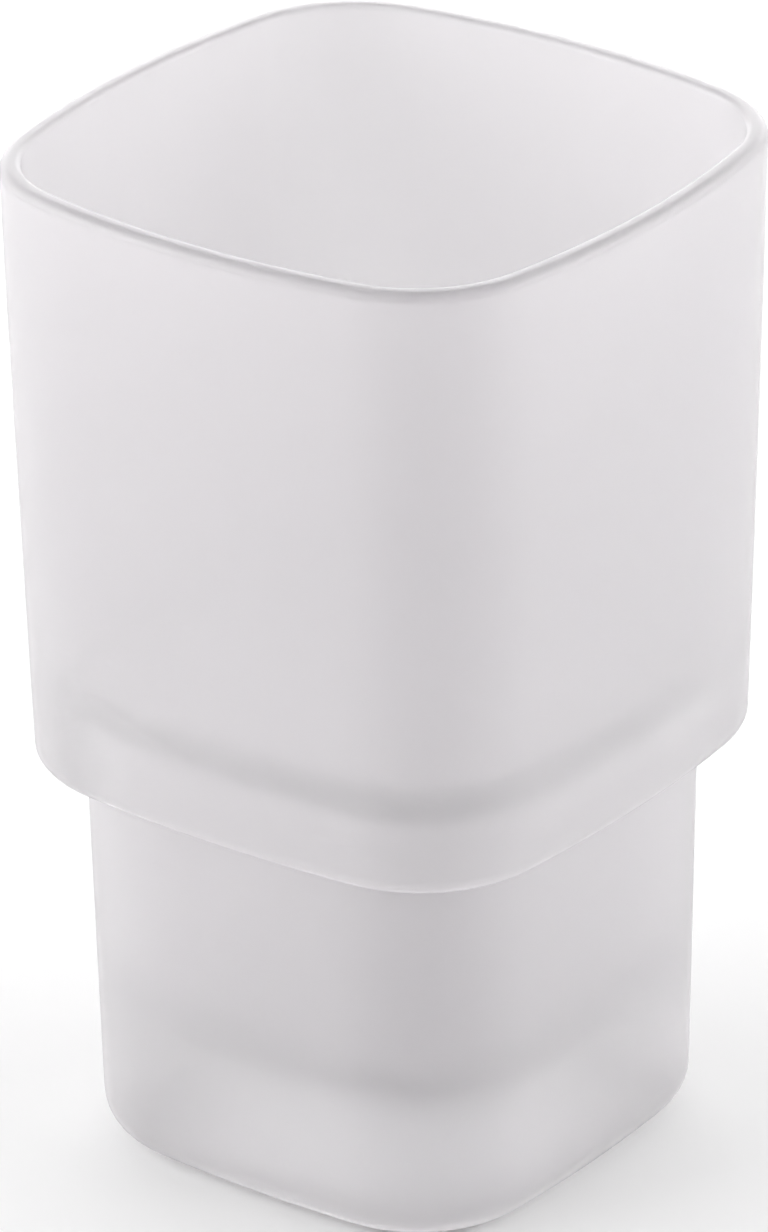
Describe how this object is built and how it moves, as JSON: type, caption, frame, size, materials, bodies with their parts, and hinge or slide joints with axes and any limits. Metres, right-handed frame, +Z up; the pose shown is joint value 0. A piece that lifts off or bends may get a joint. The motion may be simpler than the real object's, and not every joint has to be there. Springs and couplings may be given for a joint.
{
  "type": "bathroom tumbler",
  "caption": "Square frosted-glass bathroom tumbler with rounded corners, a stepped shoulder that hangs in a holder ring, a narrower lower body and a thick base.",
  "frame": {"origin": "middle of the underside, in the plane the tumbler stands on", "axes": "+Z up along the cup's axis towards the mouth; X and Y square to the middles of the bowed sides"},
  "size_m": [0.07, 0.07, 0.115],
  "materials": {
    "frosted_glass": "satin etched outside, smoother inside, with a polished rim"
  },
  "bodies": {
    "root": {"tumbler_glass": "frosted_glass"}
  },
  "joints": []
}
